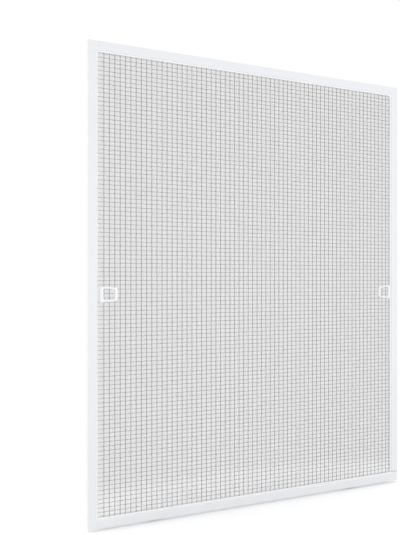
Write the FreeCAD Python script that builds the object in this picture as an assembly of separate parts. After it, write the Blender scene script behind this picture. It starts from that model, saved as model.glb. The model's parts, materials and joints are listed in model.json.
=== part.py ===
import FreeCAD, Part
import math
import os

Vector = FreeCAD.Vector

# Insect-screen frame that hangs on an edge by four hooks. All sizes in millimetres.
# X runs to the right, Y from the front to the back, Z up. The back seat of the frame lies in Y = 0, and the
# origin is half-way along the top rail's seat strip.

# Frame, outer edge to outer edge
frame_width = 1000.0
frame_height = 1200.0

# Extruded section: "inward" runs from the outer edge to the opening, "forward" from the seat to the front
section_width = 28.5
section_depth = 11.0
wall = 1.3
outer_edge_radius = 1.0
inner_edge_bevel = 1.2
fine_edge_radius = 0.3
seat_width = 10.6

# Undercut slot for the brush seal, open to the back
slot_middle = 5.3
slot_mouth = 3.4
slot_room = 5.6
slot_lip = 1.0
slot_height = 1.5

# Groove for the mesh edge, open to the front and set back behind the front face, with a lip on the opening's
# side that carries the mesh
groove_width = 5.2
groove_depth = 3.9
groove_back = 1.2
lip_thickness = 1.3

# Moulded corner piece with two barbed legs; a barb's crest and root are shares of the barbs' pitch
corner_gap = 0.1
corner_seam_chamfer = 0.35
leg_length = 45.0
leg_clearance = 0.15
leg_barbs = 4
leg_barb_depth = 0.9
leg_barb_crest = 0.25
leg_barb_root = 0.75
leg_tip_taper = 3.0

# Mesh: a thin edge band and the threads across it, upright ones on its front and level ones on its back
cloth_thickness = 0.4
cloth_clearance = 0.05
hem_clearance = 0.3
thread_width = 1.3
thread_crown = 0.6
thread_rise = 0.6
thread_end_clearance = 0.3
thread_pitch_across = 14.5
thread_pitch_up = 10.8
edge_band = 1.2

# Spline that clamps the mesh
spline_clearance = 0.1
spline_rise = 1.2
spline_dome = 0.7
spline_rib_count = 3
spline_rib_depth = 0.35
spline_corner_cut = 0.8

# Finger handles
handle_below_middle = 23.5
handle_from_edge = 2.0
handle_length = 46.0
handle_root_height = 40.0
handle_tip_height = 34.0
handle_root_bar = 9.0
handle_tip_bar = 7.5
handle_side_bar = 5.2
handle_thickness = 4.0
handle_rise = 3.5
handle_root_radius = 2.0
handle_tip_radius = 6.5
handle_opening_radius = 2.5
handle_edge_chamfer = 0.9
handle_neck_height = 34.0
handle_neck_thickness = 0.8
handle_foot_clearance = 0.05

# Brush seal
brush_clearance = 0.1
brush_side_clearance = 0.2
brush_reach = 5.0

# Hanging hooks and their screws
hook_corner_distance = 180.0
hook_width = 24.0
hook_thickness = 1.2
hook_bend_radius = 1.2
hook_clearance = 0.2
hook_grip = 15.0
hook_lip_length = 11.0
hook_corner_chamfer = 2.0
screw_shank_diameter = 2.2
screw_hole_clearance = 0.2
screw_head_diameter = 4.4
screw_head_top_diameter = 3.0
screw_head_height = 1.1
screw_length = 5.5

# Two places nearer to each other than this are the same
same_place = 1e-6

# Places that follow from the section
track_forward = slot_lip + slot_height
chamber_back = track_forward + wall
chamber_front = section_depth - wall
lip_inward = section_width - lip_thickness
groove_inward = lip_inward - groove_width
chamber_inward = groove_inward - wall
groove_floor = groove_back + wall
lip_forward = groove_floor + groove_depth
cloth_front = lip_forward + cloth_thickness
seat_strip_middle = (slot_middle + slot_mouth / 2 + seat_width) / 2
opening_width = frame_width - 2 * section_width
opening_height = frame_height - 2 * section_width
centre_z = seat_strip_middle - frame_height / 2
hook_from_middle = frame_width / 2 - hook_corner_distance
hook_web_inward = seat_width + hook_clearance
screw_inward = (hook_web_inward + hook_thickness + hook_bend_radius + chamber_inward) / 2

side_turn = {"left": 0, "top": 90, "right": 180, "bottom": 270}
side_distance = {
    "left": frame_width / 2,
    "right": frame_width / 2,
    "top": frame_height / 2,
    "bottom": frame_height / 2,
}
side_opening = {
    "left": opening_height,
    "right": opening_height,
    "top": opening_width,
    "bottom": opening_width,
}


# A closed outline with straight edges, each corner given as (first, second, radius)
def outline(corners, to_space):
    points = [Vector(c[0], c[1], 0) for c in corners]
    edges = []
    runs = []
    for i, corner in enumerate(corners):
        here = points[i]
        back = points[i - 1] - here
        ahead = points[(i + 1) % len(points)] - here
        back = back * (1 / back.Length)
        ahead = ahead * (1 / ahead.Length)
        radius = corner[2] if len(corner) > 2 else 0
        if radius <= 0:
            runs.append((here, here))
            continue
        half = back.getAngle(ahead) / 2
        reach = radius / math.tan(half)
        bisector = back + ahead
        bisector = bisector * (1 / bisector.Length)
        middle = here + bisector * (radius / math.sin(half) - radius)
        start, end = here + back * reach, here + ahead * reach
        arc = Part.Arc(*(to_space(p.x, p.y) for p in (start, middle, end)))
        edges.append((i, arc.toShape()))
        runs.append((start, end))
    for i in range(len(points)):
        leave, arrive = runs[i][1], runs[(i + 1) % len(points)][0]
        if (arrive - leave).Length > same_place:
            line = Part.LineSegment(to_space(leave.x, leave.y), to_space(arrive.x, arrive.y))
            edges.append((i + 0.5, line.toShape()))
    return Part.Wire([edge for _, edge in sorted(edges, key=lambda e: e[0])])


# A point of the left side's cross-section
def section_point(distance, along):
    return lambda inward, forward: Vector(inward - distance, -forward, along)


# A bar of one cross-section along the left side, from low to high, with closed chambers taken out
def side_bar(corners, distance, low, high, chambers=()):
    to_space = section_point(distance, low)
    face = Part.Face([outline(corners, to_space)] + [outline(c, to_space) for c in chambers])
    face.validate()
    return face.extrude(Vector(0, 0, high - low))


def rectangle(inward_low, forward_low, inward_high, forward_high):
    return [
        (inward_low, forward_low),
        (inward_high, forward_low),
        (inward_high, forward_high),
        (inward_low, forward_high),
    ]


# A piece made for the left side, turned to another side and moved from the frame's centre to its place
def placed(shape, side="left"):
    result = shape.copy()
    result.rotate(Vector(0, 0, 0), Vector(0, 1, 0), side_turn[side])
    result.translate(Vector(0, 0, centre_z))
    return result


def save(name, shape):
    if not shape.isValid():
        print("not valid:", name)
    shape.exportStep("parts/" + name + ".step")


# Straight-cut profile of one side
def profile(side):
    slot_low, slot_high = slot_middle - slot_mouth / 2, slot_middle + slot_mouth / 2
    room_low, room_high = slot_middle - slot_room / 2, slot_middle + slot_room / 2
    section = [
        (0, 0, fine_edge_radius),
        (slot_low, 0),
        (slot_low, slot_lip),
        (room_low, slot_lip),
        (room_low, track_forward),
        (room_high, track_forward),
        (room_high, slot_lip),
        (slot_high, slot_lip),
        (slot_high, 0),
        (seat_width, 0),
        (seat_width, track_forward),
        (chamber_inward, track_forward),
        (chamber_inward, groove_back),
        (section_width, groove_back),
        (section_width, lip_forward, fine_edge_radius),
        (lip_inward, lip_forward, fine_edge_radius),
        (lip_inward, groove_floor),
        (groove_inward, groove_floor),
        (groove_inward, section_depth - inner_edge_bevel),
        (groove_inward - inner_edge_bevel, section_depth),
        (0, section_depth, outer_edge_radius),
    ]
    chamber = rectangle(wall, chamber_back, chamber_inward, chamber_front)
    half = side_opening[side] / 2 - corner_gap
    bar = side_bar(section, side_distance[side], -half, half, [chamber])
    if side in ("top", "bottom"):
        hole = screw_shank_diameter / 2 + screw_hole_clearance / 2
        for along in (-hook_from_middle, hook_from_middle):
            start = section_point(side_distance[side], along)(screw_inward, track_forward - wall)
            bar = bar.cut(Part.makeCylinder(hole, 3 * wall, start, Vector(0, -1, 0)))
    return placed(bar, side)


# Corner piece: a block that carries the section round the corner, and a leg into each profile.
# It is drawn with its outer corner at the origin, one leg along +X and one along -Z.
def corner_piece():
    def inner_square(inward, back, front):
        size = section_width - inward
        return Part.makeBox(size, front - back, size, Vector(inward, -front, -section_width))

    low_corner = Vector(0, -section_depth, -section_width)
    block = Part.makeBox(section_width, section_depth, section_width, low_corner)
    outer_edges = [e for e in block.Edges if is_outer_edge(e)]
    block = block.makeFillet(outer_edge_radius, outer_edges)
    recess = inner_square(seat_width, 0, track_forward).cut(inner_square(chamber_inward, 0, track_forward))
    groove = inner_square(groove_inward, groove_floor, section_depth)
    lip = inner_square(lip_inward, groove_floor, lip_forward)
    block = block.cut([recess, inner_square(chamber_inward, 0, groove_back), groove.cut(lip)])
    block = block.makeChamfer(inner_edge_bevel, [e for e in block.Edges if is_groove_edge(e)])
    block = block.makeChamfer(corner_seam_chamfer, [e for e in block.Edges if is_seam_edge(e)])
    leg = corner_leg()
    twin = leg.mirror(Vector(0, 0, 0), Vector(1, 0, 1))
    return block.fuse([leg, twin]).removeSplitter()


# The front edges and the upright edge at the outside of a corner block
def is_outer_edge(edge):
    box = edge.BoundBox
    on_left, on_top = box.XMax < same_place, box.ZMin > -same_place
    on_front = box.YMax < -section_depth + same_place
    return (on_left and on_top) or (on_front and (on_left or on_top))


# The front edges of a corner block along its groove
def is_groove_edge(edge):
    box = edge.BoundBox
    on_front = box.YMax < -section_depth + same_place
    return on_front and box.XMin > groove_inward - same_place and box.ZMax < -groove_inward + same_place


# The front edges of a corner block that meet the profiles
def is_seam_edge(edge):
    box = edge.BoundBox
    on_front = box.YMax < -section_depth + same_place
    return on_front and (box.XMin > section_width - same_place or box.ZMax < -section_width + same_place)


# Leg along +X: a bar with saw-tooth barbs on both edges and a tapered tip
def corner_leg():
    near, far = wall + leg_clearance, chamber_inward - leg_clearance
    pitch = (leg_length - leg_tip_taper) / leg_barbs
    upper, lower = [(0, near + leg_barb_depth)], [(0, far - leg_barb_depth)]
    for i in range(leg_barbs):
        root, crest = pitch * (i + leg_barb_root), pitch * (i + leg_barb_crest)
        upper += [(crest, near), (root, near + leg_barb_depth)]
        lower += [(crest, far), (root, far - leg_barb_depth)]
    upper.append((leg_length, near + leg_tip_taper))
    lower.append((leg_length, far - leg_tip_taper))
    back, front = chamber_back + leg_clearance, chamber_front - leg_clearance
    flat = outline(upper + lower[::-1], lambda out, inward: Vector(section_width + out, -back, -inward))
    return Part.Face(flat).extrude(Vector(0, back - front, 0))


# Mesh: an edge band over the lip with its hem turned down into the groove, crossed by upright threads on its
# front and level threads on its back
def insect_mesh():
    half_width = frame_width / 2 - lip_inward + cloth_clearance
    half_height = frame_height / 2 - lip_inward + cloth_clearance
    hem_foot = groove_floor + hem_clearance

    def slab(half_x, half_z, back, front):
        return Part.makeBox(2 * half_x, front - back, 2 * half_z, Vector(-half_x, -front, -half_z))

    cloth = slab(half_width + cloth_thickness, half_height + cloth_thickness, hem_foot, cloth_front)
    cloth = cloth.cut(slab(half_width, half_height, hem_foot, lip_forward))
    clear_width, clear_height = opening_width / 2 - edge_band, opening_height / 2 - edge_band
    cloth = cloth.cut(slab(clear_width, clear_height, lip_forward, cloth_front))

    columns = round(opening_width / thread_pitch_across)
    rows = round(opening_height / thread_pitch_up)
    upright_reach = opening_height / 2 + lip_thickness
    level_reach = opening_width / 2 - thread_end_clearance
    threads = []
    for i in range(1, columns):
        place = Vector(opening_width * (i / columns - 0.5), -cloth_front, -upright_reach)
        threads.append(thread_ridge(place, Vector(0, 0, 1), upright_reach, -1))
    for i in range(1, rows):
        place = Vector(-level_reach, -lip_forward, opening_height * (i / rows - 0.5))
        threads.append(thread_ridge(place, Vector(1, 0, 0), level_reach, 1))
    return placed(cloth.fuse(threads))


# Half of a thread standing out of the cloth, outward along Y by its sign
def thread_ridge(start, direction, reach, outward):
    across = Vector(0, 1, 0).cross(direction)
    rise = Vector(0, outward * thread_rise, 0)
    corners = [
        start - across * (thread_width / 2),
        start - across * (thread_crown / 2) + rise,
        start + across * (thread_crown / 2) + rise,
        start + across * (thread_width / 2),
    ]
    return Part.Face(Part.makePolygon(corners + corners[:1])).extrude(direction * (2 * reach))


# Where the spline lies between the groove's outer wall and the mesh's hem
def spline_span():
    low = groove_inward + spline_clearance
    high = lip_inward - cloth_clearance - cloth_thickness - spline_clearance
    return low, high


# Ribbed cord with a domed top, in the groove of one side
def spline(side):
    low, high = spline_span()
    floor = groove_floor + spline_clearance
    crown = cloth_front + spline_rise
    shoulder, foot = crown - spline_dome, floor + spline_corner_cut
    pitch = (shoulder - foot) / spline_rib_count
    inner = []
    for i in range(spline_rib_count):
        inner += [(high, foot + pitch * i), (high - spline_rib_depth, foot + pitch * (i + 0.5))]
    inner.append((high, shoulder))
    middle = (low + high) / 2
    outer = [(2 * middle - inward, forward) for inward, forward in inner[::-1]]
    ring = outer + [(low + spline_corner_cut, floor), (high - spline_corner_cut, floor)] + inner
    if side in ("top", "bottom"):
        half = frame_width / 2 - groove_inward - spline_clearance
    else:
        half = frame_height / 2 - spline_span()[1] - spline_clearance
    to_space = section_point(side_distance[side], -half)
    path = [Part.LineSegment(to_space(*a), to_space(*b)).toShape() for a, b in zip(ring, ring[1:])]
    dome = (ring[-1], (middle, crown), ring[0])
    path.append(Part.Arc(*(to_space(*p) for p in dome)).toShape())
    cord = Part.Face(Part.Wire(path)).extrude(Vector(0, 0, 2 * half))
    if side in ("left", "right"):
        cord = cord.cut(handle_foot_room(side))
    return placed(cord, side)


def handle_foot_span():
    high = lip_inward - cloth_clearance - cloth_thickness - handle_foot_clearance
    return high - handle_neck_thickness, high


# Room that the handle's foot takes from the soft spline, for the left side or its turned twin
def handle_foot_room(side):
    low = handle_foot_span()[0] - handle_foot_clearance
    middle = -handle_below_middle if side == "left" else handle_below_middle
    half = handle_neck_height / 2 + handle_foot_clearance
    room = rectangle(low, groove_floor, lip_inward, section_depth)
    return side_bar(room, side_distance[side], middle - half, middle + half)


# Finger handle of the left side: a thin foot in the groove, a neck over the lip and a rounded loop
def handle():
    distance = side_distance["left"]
    loop_back = cloth_front + thread_rise + handle_rise
    root = section_width + handle_from_edge
    tip = root + handle_length
    foot_low, foot_high = handle_foot_span()
    bridge = cloth_front + thread_rise + handle_foot_clearance * 2
    neck = [
        (foot_low, groove_floor + hem_clearance),
        (foot_high, groove_floor + hem_clearance),
        (foot_high, bridge),
        (section_width, bridge),
        (root + handle_root_bar / 2, loop_back),
        (root + handle_root_bar / 2, loop_back + handle_neck_thickness),
        (section_width, bridge + handle_neck_thickness),
        (foot_low, bridge + handle_neck_thickness, handle_neck_thickness / 2),
    ]
    half = handle_neck_height / 2
    foot = side_bar(neck, distance, -half, half)

    def loop_point(inward, up):
        return Vector(inward - distance, -loop_back, up)

    def ring(inset_root, inset_tip, inset_side, root_radius, tip_radius):
        root_half, tip_half = handle_root_height / 2, handle_tip_height / 2
        slope = (root_half - tip_half) / handle_length
        low, high = root + inset_root, tip - inset_tip
        low_half = root_half - slope * inset_root - inset_side
        high_half = root_half - slope * (high - root) - inset_side
        corners = [
            (low, -low_half, root_radius),
            (high, -high_half, tip_radius),
            (high, high_half, tip_radius),
            (low, low_half, root_radius),
        ]
        return outline(corners, loop_point)

    face = Part.Face([
        ring(0, 0, 0, handle_root_radius, handle_tip_radius),
        ring(handle_root_bar, handle_tip_bar, handle_side_bar, handle_opening_radius, handle_opening_radius),
    ])
    face.validate()
    loop = face.extrude(Vector(0, -handle_thickness, 0))
    front_edges = [e for e in loop.Edges if e.BoundBox.YMax < -loop_back - handle_thickness + same_place]
    loop = loop.makeChamfer(handle_edge_chamfer, front_edges)
    result = loop.fuse(foot).removeSplitter()
    result.translate(Vector(0, 0, -handle_below_middle))
    return placed(result)


# Brush seal of one side: a backing strip in the slot and pile that reaches out of its mouth
def brush(side):
    room, mouth = slot_room / 2 - brush_side_clearance, slot_mouth / 2 - brush_side_clearance
    strip_back, strip_front = slot_lip + brush_clearance, track_forward - brush_clearance
    corners = [
        (slot_middle - mouth, -brush_reach, mouth / 2),
        (slot_middle + mouth, -brush_reach, mouth / 2),
        (slot_middle + mouth, strip_back),
        (slot_middle + room, strip_back),
        (slot_middle + room, strip_front),
        (slot_middle - room, strip_front),
        (slot_middle - room, strip_back),
        (slot_middle - mouth, strip_back),
    ]
    half = side_opening[side] / 2 - corner_gap
    return placed(side_bar(corners, side_distance[side], -half, half), side)


# Hanging hook: a bent strip with a screwed plate, a web past the seat and a lip that grips from behind
def hook(side, along):
    web, t, bend = hook_web_inward, hook_thickness, hook_bend_radius
    plate_end, lip_end = chamber_inward - hook_clearance, web + t - hook_lip_length
    section = [
        (plate_end, track_forward),
        (web, track_forward, bend + t),
        (web, -hook_grip, bend),
        (lip_end, -hook_grip),
        (lip_end, -hook_grip - t),
        (web + t, -hook_grip - t, bend + t),
        (web + t, track_forward - t, bend),
        (plate_end, track_forward - t),
    ]
    distance = side_distance[side]
    strip = side_bar(section, distance, along - hook_width / 2, along + hook_width / 2)
    ends = [e for e in strip.Edges if is_strip_corner(e, plate_end - distance, lip_end - distance)]
    strip = strip.makeChamfer(hook_corner_chamfer, ends)
    place = section_point(distance, along)(screw_inward, track_forward - 2 * t)
    hole = screw_shank_diameter / 2 + screw_hole_clearance
    strip = strip.cut(Part.makeCylinder(hole, 3 * t, place, Vector(0, -1, 0)))
    return placed(strip, side)


# The short edges through the strip's thickness at its two free ends
def is_strip_corner(edge, plate_end, lip_end):
    box = edge.BoundBox
    at_end = min(abs(box.Center.x - plate_end), abs(box.Center.x - lip_end)) < same_place
    return at_end and box.ZLength < same_place


# Pan-head screw through a hook's plate into the chamber
def hook_screw(side, along):
    head_back = track_forward - hook_thickness
    radius, shank = screw_head_diameter / 2, screw_shank_diameter / 2
    tip = head_back + screw_length
    head = [
        (0, head_back - screw_head_height),
        (screw_head_top_diameter / 2, head_back - screw_head_height),
        (radius, head_back),
        (shank, head_back),
        (shank, tip),
        (0, tip),
    ]
    place = section_point(side_distance[side], along)(screw_inward, 0)
    half = outline(head, lambda out, forward: place + Vector(out, -forward, 0))
    return placed(Part.Face(half).revolve(place, Vector(0, 1, 0), 360), side)


os.makedirs("parts", exist_ok=True)

save("left_stile", profile("left"))
save("right_stile", profile("right"))
save("top_rail", profile("top"))
save("bottom_rail", profile("bottom"))

corner = corner_piece()
corner_turns = {
    "top_left": (0, -1, 1),
    "top_right": (90, 1, 1),
    "bottom_right": (180, 1, -1),
    "bottom_left": (270, -1, -1),
}
for name, (turn, x_sign, z_sign) in corner_turns.items():
    piece = corner.copy()
    piece.rotate(Vector(0, 0, 0), Vector(0, 1, 0), turn)
    piece.translate(Vector(x_sign * frame_width / 2, 0, z_sign * frame_height / 2 + centre_z))
    save("corner_" + name, piece)

save("insect_mesh", insect_mesh())
for side in side_turn:
    save("spline_" + side, spline(side))
    save("brush_" + side, brush(side))

left_handle = handle()
save("handle_left", left_handle)
save("handle_right", left_handle.mirror(Vector(0, 0, 0), Vector(1, 0, 0)))

for side, right_sign in (("top", 1), ("bottom", -1)):
    save("hook_" + side + "_right", hook(side, right_sign * hook_from_middle))
    save("hook_" + side + "_left", hook(side, -right_sign * hook_from_middle))
screws = [
    hook_screw(side, along) for side in ("top", "bottom") for along in (-hook_from_middle, hook_from_middle)
]
save("hook_screws", Part.makeCompound(screws))
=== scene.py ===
import json
import math
import random

import bmesh
import bpy
from mathutils import Matrix, Vector


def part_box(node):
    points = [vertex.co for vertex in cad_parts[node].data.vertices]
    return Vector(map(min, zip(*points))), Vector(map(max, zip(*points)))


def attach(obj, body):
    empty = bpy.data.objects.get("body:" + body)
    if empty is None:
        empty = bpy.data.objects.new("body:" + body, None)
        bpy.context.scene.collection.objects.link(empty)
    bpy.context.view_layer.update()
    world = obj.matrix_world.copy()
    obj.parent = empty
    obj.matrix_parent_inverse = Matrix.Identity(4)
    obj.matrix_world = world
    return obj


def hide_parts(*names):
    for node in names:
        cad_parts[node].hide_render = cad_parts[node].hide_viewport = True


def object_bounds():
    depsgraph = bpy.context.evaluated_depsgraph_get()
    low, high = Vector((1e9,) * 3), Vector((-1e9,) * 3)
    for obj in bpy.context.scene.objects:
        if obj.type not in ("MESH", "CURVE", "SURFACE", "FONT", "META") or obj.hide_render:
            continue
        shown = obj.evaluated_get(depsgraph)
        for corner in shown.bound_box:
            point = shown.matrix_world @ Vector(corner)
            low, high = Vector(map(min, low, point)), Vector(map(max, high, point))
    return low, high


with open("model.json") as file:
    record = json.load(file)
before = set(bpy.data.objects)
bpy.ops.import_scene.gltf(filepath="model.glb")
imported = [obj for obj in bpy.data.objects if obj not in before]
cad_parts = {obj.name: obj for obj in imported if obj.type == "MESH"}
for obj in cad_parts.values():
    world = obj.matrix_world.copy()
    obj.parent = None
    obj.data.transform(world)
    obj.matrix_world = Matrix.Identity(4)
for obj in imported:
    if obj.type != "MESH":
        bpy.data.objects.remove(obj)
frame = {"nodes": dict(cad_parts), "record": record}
cadLow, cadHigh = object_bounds()
mm = 0.001
quarterTurn = math.radians(90)
print("frame loaded:", len(frame["nodes"]), "nodes")


# A new object in the scene
def addObject(name, data):
    made = bpy.data.objects.new(name, data)
    bpy.context.scene.collection.objects.link(made)
    return made


# A mesh from a bmesh, which is freed
def toMesh(name, bm):
    mesh = bpy.data.meshes.new(name)
    bm.to_mesh(mesh)
    bm.free()
    return mesh


# Camera at the eye height and heading of the photograph
camera = {
    "place": (-1.1616, -1.7898, -0.580),
    "heading": 28.677,      # degrees to the right of straight ahead
    "lens": 51.82,          # millimetres
    "shiftUp": 0.024,       # of the picture's height
}


def makeCamera():
    lens = bpy.data.cameras.new("camera")
    lens.lens = camera["lens"]
    lens.shift_y = camera["shiftUp"]
    eye = addObject("camera", lens)
    eye.location = camera["place"]
    eye.rotation_euler = (quarterTurn, 0, math.radians(-camera["heading"]))
    bpy.context.scene.camera = eye


makeCamera()
bpy.context.scene.view_settings.view_transform = "Standard"
print("camera placed")


# Gives a socket a value of its own, or a link from another socket
def feed(tree, socket, value):
    if isinstance(value, bpy.types.NodeSocket):
        tree.links.new(value, socket)
    else:
        socket.default_value = value


# One node of a shader tree: settings go to the node itself, keyword values to its sockets by name
def addNode(tree, kind, settings=None, **sockets):
    made = tree.nodes.new(kind)
    for key, value in (settings or {}).items():
        setattr(made, key, value)
    for key, value in sockets.items():
        wanted = key.replace("_", " ").lower()
        feed(tree, next(s for s in made.inputs if s.enabled and s.name.lower() == wanted), value)
    return made


# The first output of a node whose inputs share a name and so are filled in their order
def combined(tree, kind, *terms, **settings):
    made = addNode(tree, kind, settings)
    for socket, term in zip(made.inputs, terms):
        feed(tree, socket, term)
    return made.outputs[0]


def addMath(tree, operation, *terms):
    return combined(tree, "ShaderNodeMath", *terms, operation=operation)


# A value that goes smoothly from one end to the other while the given one crosses the span
def smoothStep(tree, value, span, ends):
    step = addNode(tree, "ShaderNodeMapRange", {"interpolation_type": "SMOOTHSTEP"}, Value=value,
                   From_Min=span[0], From_Max=span[1], To_Min=ends[0], To_Max=ends[1])
    return step.outputs[0]


# The place on the surface in metres, counted from a point
def placeFrom(tree, point):
    place = addNode(tree, "ShaderNodeTexCoord")
    moved = addNode(tree, "ShaderNodeMapping", Vector=place.outputs["Object"],
                    Location=[-value for value in point])
    return moved.outputs[0]


# The cleared tree of a material or of the world
def emptyTree(owner):
    owner.use_nodes = True
    owner.node_tree.nodes.clear()
    return owner.node_tree


# 1 where the ray comes from the camera, a mirror or glass, and 0 for the light that falls on things
def seenDirectly(tree):
    path = addNode(tree, "ShaderNodeLightPath")
    most = path.outputs["Is Camera Ray"]
    for name in ("Is Glossy Ray", "Is Transmission Ray"):
        most = addMath(tree, "MAXIMUM", most, path.outputs[name])
    return most


studio = {
    "sky": 0.86,                    # light from all round
    "skyTint": (0.98, 0.99, 1, 1),
    "white": (1, 1, 1, 1),
    "lamps": (                      # name, watts, place and size
        ("sideLamp", 30, (-3.6, 1.6, 0.2), 2.0),        # at the left, a little behind
        ("keyLamp", 12, (-3.2, -2.6, -0.55), 1.2),      # low at the front left
        ("fillLamp", 22, (1.8, -3.5, -0.55), 1.2),      # low at the front right
    ),
    "floorSize": 60,
    "floorGap": 5.0 * mm,           # the frame hangs this far above the floor
    "floorTone": 0.90,
    "floorLift": 0.335,             # brings the lit floor round the frame up to white
    # the painted contact shadow under the frame:
    "contactReach": 34 * mm,        # the lift fades where the frame is nearer than this
    "contactDepth": 1.1,            # the power that the fade is raised to
    "contactSamples": 16,
    "shadowReach": (0.66, 0.28),    # metres from the middle, to the sides and to the front and back
    "shadowFade": (0.85, 1.5),      # shares of that reach between which the floor turns to plain white
}


def makeSky():
    world = bpy.data.worlds.new("studioSky")
    bpy.context.scene.world = world
    tree = emptyTree(world)
    light = addNode(tree, "ShaderNodeBackground", Color=studio["skyTint"], Strength=studio["sky"])
    white = addNode(tree, "ShaderNodeBackground", Color=studio["white"], Strength=1.0)
    seen = combined(tree, "ShaderNodeMixShader", seenDirectly(tree), light.outputs[0], white.outputs[0])
    addNode(tree, "ShaderNodeOutputWorld", Surface=seen)


def makeLamp(name, watts, place, size):
    lamp = bpy.data.lights.new(name, "AREA")
    lamp.energy = watts
    lamp.size = size
    holder = addObject(name, lamp)
    holder.location = place
    aim = (cadLow + cadHigh) / 2 - Vector(place)
    holder.rotation_euler = aim.to_track_quat("-Z", "Y").to_euler()


# Lit and shaded near the frame, with a lift that fades under it as a painted contact shadow, and plain white
# further off
def makeFloorPaint():
    paint = bpy.data.materials.new("floorWhite")
    tree = emptyTree(paint)
    direct = seenDirectly(tree)
    tone = studio["floorTone"]
    matt = addNode(tree, "ShaderNodeBsdfDiffuse", Color=(tone, tone, tone, 1))
    # Painted contact shadow: ambient occlusion dims the lift where the frame is near
    near = addNode(tree, "ShaderNodeAmbientOcclusion", {"samples": studio["contactSamples"]},
                   Distance=studio["contactReach"])
    shade = addMath(tree, "POWER", near.outputs["AO"], studio["contactDepth"])
    lift = addMath(tree, "MULTIPLY", direct, addMath(tree, "MULTIPLY", shade, studio["floorLift"]))
    glow = addNode(tree, "ShaderNodeEmission", Color=studio["white"], Strength=lift)
    lit = combined(tree, "ShaderNodeAddShader", matt.outputs[0], glow.outputs[0])
    place = addNode(tree, "ShaderNodeTexCoord")
    sideways, forward = studio["shadowReach"]
    oval = addNode(tree, "ShaderNodeMapping", Vector=place.outputs["Object"],
                   Scale=(1 / sideways, 1 / forward, 0))
    away = addNode(tree, "ShaderNodeVectorMath", {"operation": "LENGTH"}, Vector=oval.outputs[0])
    fade = smoothStep(tree, away.outputs["Value"], studio["shadowFade"], (0.0, 1.0))
    plain = addMath(tree, "MULTIPLY", direct, fade)
    white = addNode(tree, "ShaderNodeEmission", Color=studio["white"], Strength=1.0)
    seen = combined(tree, "ShaderNodeMixShader", plain, lit, white.outputs[0])
    addNode(tree, "ShaderNodeOutputMaterial", Surface=seen)
    return paint


def makeFloor():
    bm = bmesh.new()
    bmesh.ops.create_grid(bm, x_segments=1, y_segments=1, size=studio["floorSize"] / 2)
    bmesh.ops.translate(bm, verts=bm.verts, vec=(0, 0, cadLow.z - studio["floorGap"]))
    floor = addObject("floor", toMesh("floor", bm))
    floor.data.materials.append(makeFloorPaint())


makeSky()
for lamp in studio["lamps"]:
    makeLamp(*lamp)
makeFloor()
print("studio lit")


# An empty node group; each socket is named with its kind, Float or Color
def startGroup(name, inputs, outputs):
    group = bpy.data.node_groups.new(name, "ShaderNodeTree")
    for way, sockets in (("INPUT", inputs), ("OUTPUT", outputs)):
        for socket, kind in sockets.items():
            group.interface.new_socket(socket, in_out=way, socket_type="NodeSocket" + kind)
    return group


# The noise in the shared effects
noise = {
    "middle": 0.5,
    "usual": (0.3, 0.7),    # nearly all of a noise lies between these
    "driftDetail": 3.0,
    "grainDetail": 2.0,
    "speckleDetail": 1.0,
    "speckleScale": 4.7,    # how many times finer the speckle is than the grain
}


# Shared effect: a tone that drifts slowly over the surface
def makeToneDrift():
    group = startGroup("toneDrift", {"Tone": "Color", "Amount": "Float", "Scale": "Float"},
                       {"Color": "Color", "Mask": "Float"})
    given = addNode(group, "NodeGroupInput")
    place = addNode(group, "ShaderNodeTexCoord")
    cloud = addNode(group, "ShaderNodeTexNoise", Vector=place.outputs["Object"], Detail=noise["driftDetail"],
                    Scale=given.outputs["Scale"])
    swing = addMath(group, "SUBTRACT", cloud.outputs["Fac"], noise["middle"])
    level = addMath(group, "MULTIPLY_ADD", swing, given.outputs["Amount"], 1.0)
    shift = addNode(group, "ShaderNodeHueSaturation", Color=given.outputs["Tone"], Value=level)
    addNode(group, "NodeGroupOutput", Color=shift.outputs["Color"], Mask=cloud.outputs["Fac"])
    return group


# Shared effect: the fine relief of a coat or a mould, as two sizes of noise
def makeFineGrain():
    group = startGroup("fineGrain", {"Scale": "Float", "Speckle": "Float"}, {"Height": "Float"})
    given = addNode(group, "NodeGroupInput")
    place = addNode(group, "ShaderNodeTexCoord")
    wide = addNode(group, "ShaderNodeTexNoise", Vector=place.outputs["Object"], Detail=noise["grainDetail"],
                   Scale=given.outputs["Scale"])
    finer = addMath(group, "MULTIPLY", given.outputs["Scale"], noise["speckleScale"])
    small = addNode(group, "ShaderNodeTexNoise", Vector=place.outputs["Object"],
                    Detail=noise["speckleDetail"], Scale=finer)
    both = addMath(group, "MULTIPLY_ADD", small.outputs["Fac"], given.outputs["Speckle"], wide.outputs["Fac"])
    addNode(group, "NodeGroupOutput", Height=both)
    return group


# Where the right stile meets the bottom corner, a dark line of painted shade stands for the joint having
# opened a hair
paintedJointShade = {
    "halfWidth": 1.1 * mm,
    # the tone of the painted shade
    "tone": (0.24, 0.245, 0.25, 1),
}


# Shared effect: a mask for that painted shade along the joint, on the stile and on the corner alike
def makePaintedJointShade():
    group = startGroup("jointShadeLine", {}, {"Mask": "Float"})
    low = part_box("right_stile")[0]
    parts = addNode(group, "ShaderNodeSeparateXYZ", Vector=placeFrom(group, (low.x, 0, low.z)))
    level = addMath(group, "ABSOLUTE", parts.outputs["Z"])
    line = smoothStep(group, level, (0.0, paintedJointShade["halfWidth"]), (1.0, 0.0))
    onStile = addMath(group, "GREATER_THAN", parts.outputs["X"], 0.0)
    addNode(group, "NodeGroupOutput", Mask=addMath(group, "MULTIPLY", line, onStile))
    return group


# Painted light: along the opening the frame is painted a little whiter, from the bevel beside the cord to the
# lip under the mesh, to lighten the shade in the groove
paintedEdgeLight = {
    "inset": 20.7 * mm,     # from the outer edge of the frame to the bevel
    "depth": 2.0 * mm,      # the back keeps the plain tone
    # the tone of the painted highlight
    "tone": (0.97, 0.975, 0.98, 1),
}
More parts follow.
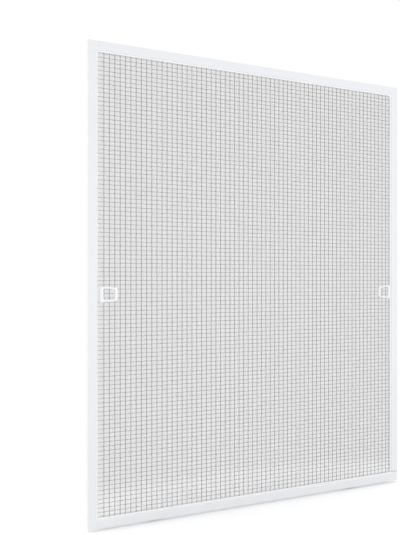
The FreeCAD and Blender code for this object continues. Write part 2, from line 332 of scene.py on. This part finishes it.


# Shared effect: a mask for that painted light over the edge, on the profiles and on the corners alike
def makePaintedEdgeLight():
    group = startGroup("paintedEdgeLight", {}, {"Mask": "Float"})
    low = Vector((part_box("left_stile")[0].x, 0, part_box("bottom_rail")[0].z))
    high = Vector((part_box("right_stile")[1].x, 0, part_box("top_rail")[1].z))
    place = placeFrom(group, (low + high) / 2)
    mirrored = addNode(group, "ShaderNodeVectorMath", {"operation": "ABSOLUTE"}, Vector=place)
    inset = combined(group, "ShaderNodeVectorMath", (high - low) / 2, mirrored.outputs[0],
                     operation="SUBTRACT")
    inward = addNode(group, "ShaderNodeSeparateXYZ", Vector=inset)
    nearest = addMath(group, "MINIMUM", inward.outputs["X"], inward.outputs["Z"])
    inside = addMath(group, "GREATER_THAN", nearest, paintedEdgeLight["inset"])
    parts = addNode(group, "ShaderNodeSeparateXYZ", Vector=place)
    front = addMath(group, "LESS_THAN", parts.outputs["Y"], -paintedEdgeLight["depth"])
    addNode(group, "NodeGroupOutput", Mask=addMath(group, "MULTIPLY", inside, front))
    return group


toneDrift = makeToneDrift()
fineGrain = makeFineGrain()
# Painted light and shade on the frame: the lighter inner edge and the dark joint line
paintedFrameLight = ((makePaintedEdgeLight(), paintedEdgeLight["tone"]), (makePaintedJointShade(), paintedJointShade["tone"]))


# A finish from the shared effects: marks holds masks of painted light and shade with their tones, sockets the
# shader's constant values
def makeFinish(name, look, marks=(), **sockets):
    paint = bpy.data.materials.new(name)
    tree = emptyTree(paint)
    drift = addNode(tree, "ShaderNodeGroup", {"node_tree": toneDrift}, Tone=(*look["tone"], 1),
                    Amount=look["drift"], Scale=look["driftScale"])
    low, high = noise["usual"]
    rough = addNode(tree, "ShaderNodeMapRange", Value=drift.outputs["Mask"], From_Min=low, From_Max=high,
                    To_Min=look["rough"][0], To_Max=look["rough"][1])
    grain = addNode(tree, "ShaderNodeGroup", {"node_tree": fineGrain}, Scale=look["grainScale"],
                    Speckle=look["speckle"])
    relief = addNode(tree, "ShaderNodeBump", Strength=look["relief"], Distance=look["depth"],
                     Height=grain.outputs["Height"])
    colour = drift.outputs["Color"]
    for mark, tone in marks:
        where = addNode(tree, "ShaderNodeGroup", {"node_tree": mark})
        mixed = addNode(tree, "ShaderNodeMix", {"data_type": "RGBA"}, Factor=where.outputs["Mask"],
                        A=colour, B=tone)
        colour = mixed.outputs["Result"]
    shader = addNode(tree, "ShaderNodeBsdfPrincipled", Base_Color=colour,
                     Roughness=rough.outputs[0], Normal=relief.outputs[0], **sockets)
    addNode(tree, "ShaderNodeOutputMaterial", Surface=shader.outputs[0])
    return paint


powderCoat = {"tone": (0.84, 0.855, 0.875), "drift": 0.03, "driftScale": 9, "rough": (0.36, 0.46),
              "grainScale": 900, "speckle": 0.3, "relief": 0.25, "depth": 0.12 * mm}
mouldedCorner = {"tone": (0.845, 0.855, 0.87), "drift": 0.03, "driftScale": 40, "rough": (0.46, 0.56),
                 "grainScale": 2600, "speckle": 0.6, "relief": 0.3, "depth": 0.05 * mm}
softCord = {"tone": (0.945, 0.95, 0.955), "drift": 0.05, "driftScale": 60, "rough": (0.42, 0.55),
            "grainScale": 700, "speckle": 0.2, "relief": 0.3, "depth": 0.12 * mm}
handlePlastic = {"tone": (0.885, 0.89, 0.895), "drift": 0.02, "driftScale": 50, "rough": (0.24, 0.32),
                 "grainScale": 500, "speckle": 0.2, "relief": 0.12, "depth": 0.08 * mm}
coatedYarn = {"tone": (0.122, 0.105, 0.121), "drift": 0.5, "driftScale": 140, "rough": (0.42, 0.6),
              "grainScale": 1800, "speckle": 0.4, "relief": 0.4, "depth": 0.1 * mm}
sealPile = {"tone": (0.40, 0.405, 0.41), "drift": 0.5, "driftScale": 900, "rough": (0.75, 0.9),
            "grainScale": 3000, "speckle": 0.5, "relief": 0.4, "depth": 0.1 * mm}
zincSheet = {"tone": (0.62, 0.63, 0.64), "drift": 0.25, "driftScale": 260, "rough": (0.28, 0.42),
             "grainScale": 1500, "speckle": 0.5, "relief": 0.2, "depth": 0.05 * mm}
zincScrew = {"tone": (0.66, 0.66, 0.655), "drift": 0.2, "driftScale": 500, "rough": (0.22, 0.34),
             "grainScale": 2500, "speckle": 0.3, "relief": 0.15, "depth": 0.03 * mm}

paints = {
    "frame_white": makeFinish("powderCoat", powderCoat, paintedFrameLight, IOR=1.5, Coat_Weight=0.15,
                              Coat_Roughness=0.25),
    "corner_white": makeFinish("mouldedCorner", mouldedCorner, paintedFrameLight, IOR=1.49),
    "spline_white": makeFinish("softCord", softCord, IOR=1.52),
    "handle_white": makeFinish("handlePlastic", handlePlastic, IOR=1.49, Coat_Weight=0.3),
    "mesh_grey": makeFinish("coatedYarn", coatedYarn, IOR=1.5),
    "brush_grey": makeFinish("sealPile", sealPile, IOR=1.45, Sheen_Weight=0.3),
    "hook_steel": makeFinish("zincSheet", zincSheet, Metallic=1.0),
    "screw_steel": makeFinish("zincScrew", zincScrew, Metallic=1.0),
}
for part in frame["record"]["subparts"]:
    mesh = frame["nodes"][part["node"]].data
    mesh.materials.clear()
    mesh.materials.append(paints[part["material_slot"]])
print("finishes made:", len(paints))


# A finished piece from its bmesh: at the origin, on the one body, standing for CAD nodes, and shaded smooth
# except at edges sharper than the crease in degrees
def addPiece(name, bm, slotName, *nodes, crease):
    mesh = toMesh(name, bm)
    mesh.shade_smooth()
    mesh.set_sharp_from_angle(angle=math.radians(crease))
    mesh.materials.append(paints[slotName])
    piece = addObject(name, mesh)
    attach(piece, "root")
    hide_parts(*nodes)
    return piece


# A copy of a template mesh, moved to its place
def stamp(bm, template, place):
    template.transform(Matrix.Translation(place))
    bm.from_mesh(template)
    template.transform(Matrix.Translation(-place))


# Adds one bmesh to another and frees it
def join(bm, other):
    bm.from_mesh(toMesh("part", other))


# Rounds edges or corners with a circular section
def roundOff(bm, geom, offset, steps, affect="EDGES", clamp=False):
    bmesh.ops.bevel(bm, geom=geom, offset=offset, affect=affect, segments=steps, profile=0.5, material=-1,
                    clamp_overlap=clamp)


# The elements of one kind in the geometry that an operator returns
def only(kind, geom):
    return [g for g in geom if isinstance(g, kind)]


# Where the inner lines between equal cells lie, from -0.5 to 0.5 over the whole
def cellLines(cells):
    return [i / cells - 0.5 for i in range(1, cells)]


# Woven mesh: flat yarns that pass over and under each other, their ends tucked beside the spline
weave = {
    "columns": 65,                  # cells across
    "rows": 106,                    # cells up
    "uprightWidth": 1.35 * mm,
    "levelWidth": 1.0 * mm,
    "yarnThickness": 0.8 * mm,
    "yarnSides": 6,
    "fineAcross": 8,                # fine yarns to a cell, the heavy one counted
    "fineUp": 6,
    "fineWidth": 0.25 * mm,
    "fineSides": 4,
    "crimp": 0.4 * mm,              # swing to each side of the cloth's middle
    "lipSqueeze": 0.7,              # of the thickness, where a yarn runs onto the lip
    "hemThickness": 0.4 * mm,       # a yarn's end, pressed flat by the spline
    "hemTurns": (-60, -90),         # degrees, at the bend into the groove and at the end
    "hemDrop": 3.8 * mm,
    "crease": 60,
}


# A ring of diameter 1 swept through a list of matrices, closed at both ends
def sweepRing(sides, stations):
    bm = bmesh.new()
    bmesh.ops.create_circle(bm, cap_ends=True, segments=sides, radius=0.5)
    bmesh.ops.transform(bm, matrix=stations[0], verts=bm.verts)
    edges = bm.edges[:]
    for before, after in zip(stations, stations[1:]):
        grown = bmesh.ops.extrude_edge_only(bm, edges=edges)["geom"]
        edges = [e for e in only(bmesh.types.BMEdge, grown) if e.is_boundary]
        bmesh.ops.transform(bm, matrix=after @ before.inverted(), verts=only(bmesh.types.BMVert, grown))
    bmesh.ops.contextual_create(bm, geom=edges)
    bmesh.ops.recalc_face_normals(bm, faces=bm.faces)
    return toMesh("sweep", bm)


# One yarn along Z through the crossings, first to the front or the back, and its two tucked ends
def makeYarn(width, reach, hemReach, crossings, firstSide, clothY):
    def station(along, depth, tilt=0.0, squeeze=1.0):
        size = Matrix.Diagonal((width, weave["yarnThickness"] * squeeze, 1, 1))
        return Matrix.Translation((0, depth, along)) @ Matrix.Rotation(tilt, 4, "X") @ size

    hem = weave["hemThickness"]
    flat = hem / weave["yarnThickness"]
    lipY = clothY - weave["crimp"] / 2
    bend, tail = (math.radians(turn) for turn in weave["hemTurns"])
    end = [
        (reach, lipY, 0.0, weave["lipSqueeze"]),
        (hemReach - hem, lipY, 0.0, flat),
        (hemReach, lipY + hem, bend, flat),
        (hemReach, lipY + weave["hemDrop"], tail, flat),
    ]
    middle = [(along, clothY + (-1) ** i * firstSide * weave["crimp"]) for i, along in enumerate(crossings)]
    start = [(-along, depth, -tilt, squeeze) for along, depth, tilt, squeeze in reversed(end)]
    return sweepRing(weave["yarnSides"], [station(*s) for s in start + middle + end])


# One straight fine yarn along Z
def makeFineYarn(length, clothY):
    bm = bmesh.new()
    radius = weave["fineWidth"] / 2
    bmesh.ops.create_cone(bm, cap_ends=True, segments=weave["fineSides"], radius1=radius, radius2=radius,
                          depth=length)
    bmesh.ops.translate(bm, verts=bm.verts, vec=(0, clothY, 0))
    return toMesh("fineYarn", bm)


def makeWeave():
    meshLow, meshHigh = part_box("insect_mesh")
    openLow = Vector((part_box("left_stile")[1].x, 0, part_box("bottom_rail")[1].z))
    openHigh = Vector((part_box("right_stile")[0].x, 0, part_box("top_rail")[0].z))
    size, middle = openHigh - openLow, (openLow + openHigh) / 2
    reach = (meshHigh - meshLow) / 2 - Vector((1, 1, 1)) * weave["hemThickness"] / 2
    clothY = meshLow.y + weave["crimp"] + weave["yarnThickness"] / 2
    across = [size.x * share for share in cellLines(weave["columns"])]
    up = [size.z * share for share in cellLines(weave["rows"])]
    uprights = [makeYarn(weave["uprightWidth"], size.z / 2, reach.z, up, s, clothY) for s in (-1, 1)]
    levels = [makeYarn(weave["levelWidth"], size.x / 2, reach.x, across, s, clothY) for s in (1, -1)]
    fineUpright = makeFineYarn(2 * reach.z, clothY - weave["fineWidth"] / 2)
    fineLevel = makeFineYarn(2 * reach.x, clothY + weave["fineWidth"] / 2)
    for yarn in levels + [fineLevel]:
        yarn.transform(Matrix.Rotation(quarterTurn, 4, "Y"))
    bm = bmesh.new()
    for i, x in enumerate(across):
        stamp(bm, uprights[i % 2], middle + Vector((x, 0, 0)))
    for i, z in enumerate(up):
        stamp(bm, levels[i % 2], middle + Vector((0, 0, z)))
    for i, share in enumerate(cellLines(weave["columns"] * weave["fineAcross"]), 1):
        if i % weave["fineAcross"]:
            stamp(bm, fineUpright, middle + Vector((size.x * share, 0, 0)))
    for i, share in enumerate(cellLines(weave["rows"] * weave["fineUp"]), 1):
        if i % weave["fineUp"]:
            stamp(bm, fineLevel, middle + Vector((0, 0, size.z * share)))
    faces = len(bm.faces)
    yarnFace = sum(f.calc_area() for f in bm.faces) / 2
    cloth = addPiece("wovenMesh", bm, "mesh_grey", "insect_mesh", crease=weave["crease"])
    print("mesh woven:", faces, "faces, yarn area", round(yarnFace, 3))


makeWeave()

# Finger handle: a loop that stands off the mesh, on a neck whose foot is clamped beside the spline
fingerHandle = {
    "length": 46 * mm,
    "rootHeight": 40 * mm,
    "tipHeight": 34 * mm,
    "rootBar": 9.0 * mm,
    "tipBar": 7.5 * mm,
    "sideBar": 5.2 * mm,
    "thickness": 4 * mm,
    "rootReach": 2 * mm,            # how far the rounded corners reach along the sides
    "tipReach": 6.5 * mm,
    "openingReach": 2.5 * mm,
    "cornerSteps": 7,
    "frontRound": 1.1 * mm,
    "backRound": 0.5 * mm,
    "roundSteps": 3,
    "rimAngle": 40,                 # degrees; edges sharper than this are rounded
    "rimFlat": 0.001 * mm,          # how far from the plane of a rim its corners may lie
    "neckHeight": 34 * mm,
    "neckThickness": 0.8 * mm,
    "neckBend": 0.9 * mm,
    "bendSteps": 4,
    "lipCrossing": 2.2 * mm,        # from the foot to where the neck starts to rise
    "footDepth": 5.1 * mm,
    "crease": 50,
}


# A face with four rounded corners, two at the root and two at the tip
def roundedRing(bm, corners, rootReach, tipReach):
    verts = [bm.verts.new(corner) for corner in corners]
    bm.faces.new(verts)
    for pair, reach in ((verts[:2], rootReach), (verts[2:], tipReach)):
        roundOff(bm, pair, reach, fingerHandle["cornerSteps"], affect="VERTICES")


# Sharp edges that lie in the plane y = depth
def rimEdges(bm, depth):
    flat = fingerHandle["rimFlat"]
    level = [e for e in bm.edges if all(abs(v.co.y - depth) < flat for v in e.verts)]
    return [e for e in level if e.calc_face_angle() > math.radians(fingerHandle["rimAngle"])]


def makeLoop(bm, low, high):
    root, tip = high.x - fingerHandle["length"], high.x
    middle = (low.z + high.z) / 2

    def corners(insetRoot, insetTip, insetSide):
        def half(x):
            share = (x - root) / fingerHandle["length"]
            height = fingerHandle["rootHeight"] * (1 - share) + fingerHandle["tipHeight"] * share
            return height / 2 - insetSide

        near, far = root + insetRoot, tip - insetTip
        ends = [(near, half(near)), (near, -half(near)), (far, -half(far)), (far, half(far))]
        return [(x, low.y, middle + z) for x, z in ends]

    roundedRing(bm, corners(0, 0, 0), fingerHandle["rootReach"], fingerHandle["tipReach"])
    bars = [fingerHandle[name] for name in ("rootBar", "tipBar", "sideBar")]
    roundedRing(bm, corners(*bars), fingerHandle["openingReach"], fingerHandle["openingReach"])
    bmesh.ops.delete(bm, geom=bm.faces[:], context="FACES_ONLY")
    bmesh.ops.bridge_loops(bm, edges=bm.edges[:])
    bmesh.ops.solidify(bm, geom=bm.faces[:], thickness=fingerHandle["thickness"])
    bmesh.ops.recalc_face_normals(bm, faces=bm.faces)
    bmesh.ops.translate(bm, verts=bm.verts, vec=(0, low.y - min(v.co.y for v in bm.verts), 0))
    for depth, size in ((low.y, "frontRound"), (low.y + fingerHandle["thickness"], "backRound")):
        roundOff(bm, rimEdges(bm, depth), fingerHandle[size], fingerHandle["roundSteps"], clamp=True)


# The neck as a bent strip, from the foot's end in the groove to the back of the loop's root
def makeNeck(bm, low, high):
    half, thick = fingerHandle["neckHeight"] / 2, fingerHandle["neckThickness"]
    middle = (low.z + high.z) / 2
    footX = low.x + thick / 2
    overY = high.y - fingerHandle["footDepth"]
    rootX = high.x - fingerHandle["length"] + fingerHandle["rootBar"] / 2
    backY = low.y + fingerHandle["thickness"] - thick / 2
    path = [(footX, high.y), (footX, overY), (footX + fingerHandle["lipCrossing"], overY), (rootX, backY)]
    verts = [bm.verts.new((x, y, middle - half)) for x, y in path]
    edges = [bm.edges.new(pair) for pair in zip(verts, verts[1:])]
    grown = bmesh.ops.extrude_edge_only(bm, edges=edges)["geom"]
    bmesh.ops.translate(bm, verts=only(bmesh.types.BMVert, grown), vec=(0, 0, 2 * half))
    bends = [e for e in bm.edges if len(e.link_faces) == 2]
    roundOff(bm, bends, fingerHandle["neckBend"], fingerHandle["bendSteps"])
    bmesh.ops.recalc_face_normals(bm, faces=bm.faces)
    bmesh.ops.solidify(bm, geom=bm.faces[:], thickness=thick)
    bmesh.ops.recalc_face_normals(bm, faces=bm.faces)
    bmesh.ops.translate(bm, verts=bm.verts, vec=(low.x - min(v.co.x for v in bm.verts), 0, 0))


# Both handles from the left one's box; the right one is its mirror image
def makeHandles():
    low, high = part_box("handle_left")
    for side, sign in (("Left", 1), ("Right", -1)):
        whole = bmesh.new()
        for make in (makeLoop, makeNeck):
            bm = bmesh.new()
            make(bm, low, high)
            join(whole, bm)
        bmesh.ops.scale(whole, vec=(sign, 1, 1), verts=whole.verts)
        bmesh.ops.recalc_face_normals(whole, faces=whole.faces)
        faces = len(whole.faces)
        addPiece("fingerHandle" + side, whole, "handle_white", "handle_" + side.lower(),
                 crease=fingerHandle["crease"])
    print("handles moulded:", faces, "faces each")


makeHandles()

# Brush seal: a woven backing strip in the slot, and rows of pile tufts that lean a little each their own way
brushSeal = {
    "stripWidth": 5.2 * mm,
    "stripThickness": 1.3 * mm,
    "stripRound": 0.25 * mm,
    "roundSteps": 2,
    "pileWidth": 2.3 * mm,          # between the outer rows
    "tuftRows": 4,
    "tuftPitch": 0.95 * mm,
    "tuftStagger": 0.25,            # of the pitch, forward and back from row to row
    "tuftSides": 3,
    "tuftRadius": (0.40 * mm, 0.22 * mm),
    "tuftShort": 0.7 * mm,          # most that a tuft falls short of the longest
    "tuftLean": 0.25 * mm,
    "blockLength": 45 * mm,         # a stretch of pile, repeated along the strip
    "seed": 11,
    "crease": 50,
}


# A stretch of pile along Z on the plane y = foot, with the tips at y = reach
def makePile(tufts, pitch, foot, reach):
    chance = random.Random(brushSeal["seed"])
    bm = bmesh.new()
    rows = brushSeal["tuftRows"]
    for i in range(tufts):
        for row in range(rows):
            height = reach - foot - chance.uniform(0, brushSeal["tuftShort"])
            across = brushSeal["pileWidth"] * (row / (rows - 1) - 0.5)
            along = pitch * (i + 0.5 + brushSeal["tuftStagger"] * (-1) ** row)
            lean = [chance.uniform(-1, 1) * brushSeal["tuftLean"] for _ in range(2)]
            shear = Matrix.Identity(4)
            shear[0][2], shear[1][2] = (v / height for v in lean)
            place = Matrix.Translation((across, foot, along)) @ Matrix.Rotation(-quarterTurn, 4, "X")
            lift = Matrix.Translation((0, 0, height / 2))
            bmesh.ops.create_cone(bm, cap_ends=True, segments=brushSeal["tuftSides"], depth=height,
                                  radius1=brushSeal["tuftRadius"][0], radius2=brushSeal["tuftRadius"][1],
                                  matrix=place @ shear @ lift)
    return toMesh("pile", bm)


def makeBrush(side):
    low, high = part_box("brush_" + side)
    size, middle = high - low, (low + high) / 2
    length = max(size.x, size.z)
    thick = brushSeal["stripThickness"]
    bm = bmesh.new()
    bmesh.ops.create_cube(bm, size=1)
    bmesh.ops.scale(bm, vec=(brushSeal["stripWidth"], thick, length), verts=bm.verts)
    bmesh.ops.translate(bm, vec=(0, low.y + thick / 2, 0), verts=bm.verts)
    roundOff(bm, bm.edges[:], brushSeal["stripRound"], brushSeal["roundSteps"])
    blocks = round(length / brushSeal["blockLength"])
    tufts = round(length / blocks / brushSeal["tuftPitch"])
    pile = makePile(tufts, length / blocks / tufts, low.y + thick / 2, high.y)
    for i in range(blocks):
        stamp(bm, pile, Vector((0, 0, length * (i / blocks - 0.5))))
    if size.x > size.z:
        level = Matrix.Rotation(quarterTurn, 3, "Y")
        bmesh.ops.rotate(bm, cent=(0, 0, 0), matrix=level, verts=bm.verts)
    bmesh.ops.translate(bm, vec=(middle.x, 0, middle.z), verts=bm.verts)
    faces = len(bm.faces)
    addPiece("brushSeal" + side.title(), bm, "brush_grey", "brush_" + side, crease=brushSeal["crease"])
    return faces


print("brushes made:", sum(makeBrush(side) for side in ("left", "right", "top", "bottom")), "faces")

# Hook screws: pan heads with a cross recess, and a coarse thread on the shank
hookScrew = {
    "headDiameter": 4.4 * mm,
    "headHeight": 1.1 * mm,
    "headCurve": ((1, 0.75), (0.93, 0.42), (0.76, 0.12), (0.58, 0)),    # shares of radius and height
    "shankDiameter": 1.9 * mm,
    "pointWidth": 0.25,             # of the shank
    "pointLength": 1.6,             # times the shank's radius
    "threadDiameter": 2.2 * mm,
    "threadFoot": 0.95,             # of the shank, so that the ridge starts inside it
    "threadPitch": 0.8 * mm,
    "turnSteps": 24,
    "recessSpan": 2.3 * mm,
    "recessWidth": 0.55 * mm,
    "recessDepth": 0.7 * mm,
    "recessTaper": 0.55,            # the recess's size at its bottom
    "sliver": 0.002 * mm,           # edges shorter than this are closed up
    "crease": 35,
}


# Two tapered bars across each other, from just above the head down to the recess's bottom
def makeRecess():
    bm = bmesh.new()
    size = (hookScrew["recessSpan"], 2 * hookScrew["recessDepth"], hookScrew["recessWidth"])
    taper = hookScrew["recessTaper"]
    for turn in (0, quarterTurn):
        bar = bmesh.new()
        bmesh.ops.create_cube(bar, size=1)
        bmesh.ops.scale(bar, vec=size, verts=bar.verts)
        bmesh.ops.scale(bar, vec=(taper, 1, taper), verts=[v for v in bar.verts if v.co.y < 0])
        bmesh.ops.rotate(bar, cent=(0, 0, 0), matrix=Matrix.Rotation(turn, 3, "Y"), verts=bar.verts)
        join(bm, bar)
    return bm


# One bmesh with another cut out of it
def carved(bm, cutter):
    shapes = (("body", bm), ("cutter", cutter))
    holders = [addObject(name, toMesh(name, shape)) for name, shape in shapes]
    body, tool = holders
    cut = body.modifiers.new("cut", "BOOLEAN")
    cut.operation = "DIFFERENCE"
    cut.object = tool
    cut.solver = "EXACT"
    cut.use_self = True
    result = bmesh.new()
    bpy.context.view_layer.update()
    result.from_object(body, bpy.context.evaluated_depsgraph_get())
    for holder in holders:
        bpy.data.objects.remove(holder)
    bmesh.ops.dissolve_degenerate(result, dist=hookScrew["sliver"], edges=result.edges[:])
    return result


# A screw along Y with the top of its head at the origin and its point at y = -length
def makeScrew(length):
    head, shank = hookScrew["headDiameter"] / 2, hookScrew["shankDiameter"] / 2
    seat = -hookScrew["headHeight"]
    outline = [
        (0, -length),
        (shank * hookScrew["pointWidth"], -length),
        (shank, -length + hookScrew["pointLength"] * shank),
        (shank, seat),
        (head, seat),
        *((head * across, seat * down) for across, down in hookScrew["headCurve"]),
        (0, 0),
    ]
    bm = bmesh.new()
    verts = [bm.verts.new((radius, y, 0)) for radius, y in outline]
    edges = [bm.edges.new(pair) for pair in zip(verts, verts[1:])]
    bmesh.ops.spin(bm, geom=verts + edges, axis=(0, 1, 0), cent=(0, 0, 0), angle=math.tau,
                   steps=hookScrew["turnSteps"], use_merge=True)
    bmesh.ops.remove_doubles(bm, verts=bm.verts, dist=hookScrew["sliver"])
    bmesh.ops.recalc_face_normals(bm, faces=bm.faces)
    return carved(bm, makeRecess())


# The thread as a ridge wound round the shank, half a pitch wide, from above the point to below the head
def makeThread(length):
    shank, crest = hookScrew["shankDiameter"] / 2, hookScrew["threadDiameter"] / 2
    pitch, steps = hookScrew["threadPitch"], hookScrew["turnSteps"]
    start, end = -length + 2 * shank, -hookScrew["headHeight"] - pitch / 2
    turns = (end - start) / pitch
    foot = shank * hookScrew["threadFoot"]
    bm = bmesh.new()
    ridge = [(foot, -pitch / 4), (crest, 0), (foot, pitch / 4)]
    face = bm.faces.new([bm.verts.new((radius, start + y, 0)) for radius, y in ridge])
    bmesh.ops.spin(bm, geom=[face], axis=(0, 1, 0), cent=(0, 0, 0), dvec=(0, pitch / steps, 0),
                   angle=math.tau * turns, steps=round(steps * turns))
    bmesh.ops.recalc_face_normals(bm, faces=bm.faces)
    return bm


def makeScrews():
    low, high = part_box("hook_screws")
    length = high.y - low.y
    one = makeScrew(length)
    join(one, makeThread(length))
    template = toMesh("hookScrew", one)
    edge = hookScrew["headDiameter"] / 2
    bm = bmesh.new()
    for x in (low.x + edge, high.x - edge):
        for z in (low.z + edge, high.z - edge):
            stamp(bm, template, Vector((x, high.y, z)))
    faces = len(bm.faces)
    addPiece("hookScrews", bm, "screw_steel", "hook_screws", crease=hookScrew["crease"])
    print("screws turned:", faces, "faces")


makeScrews()
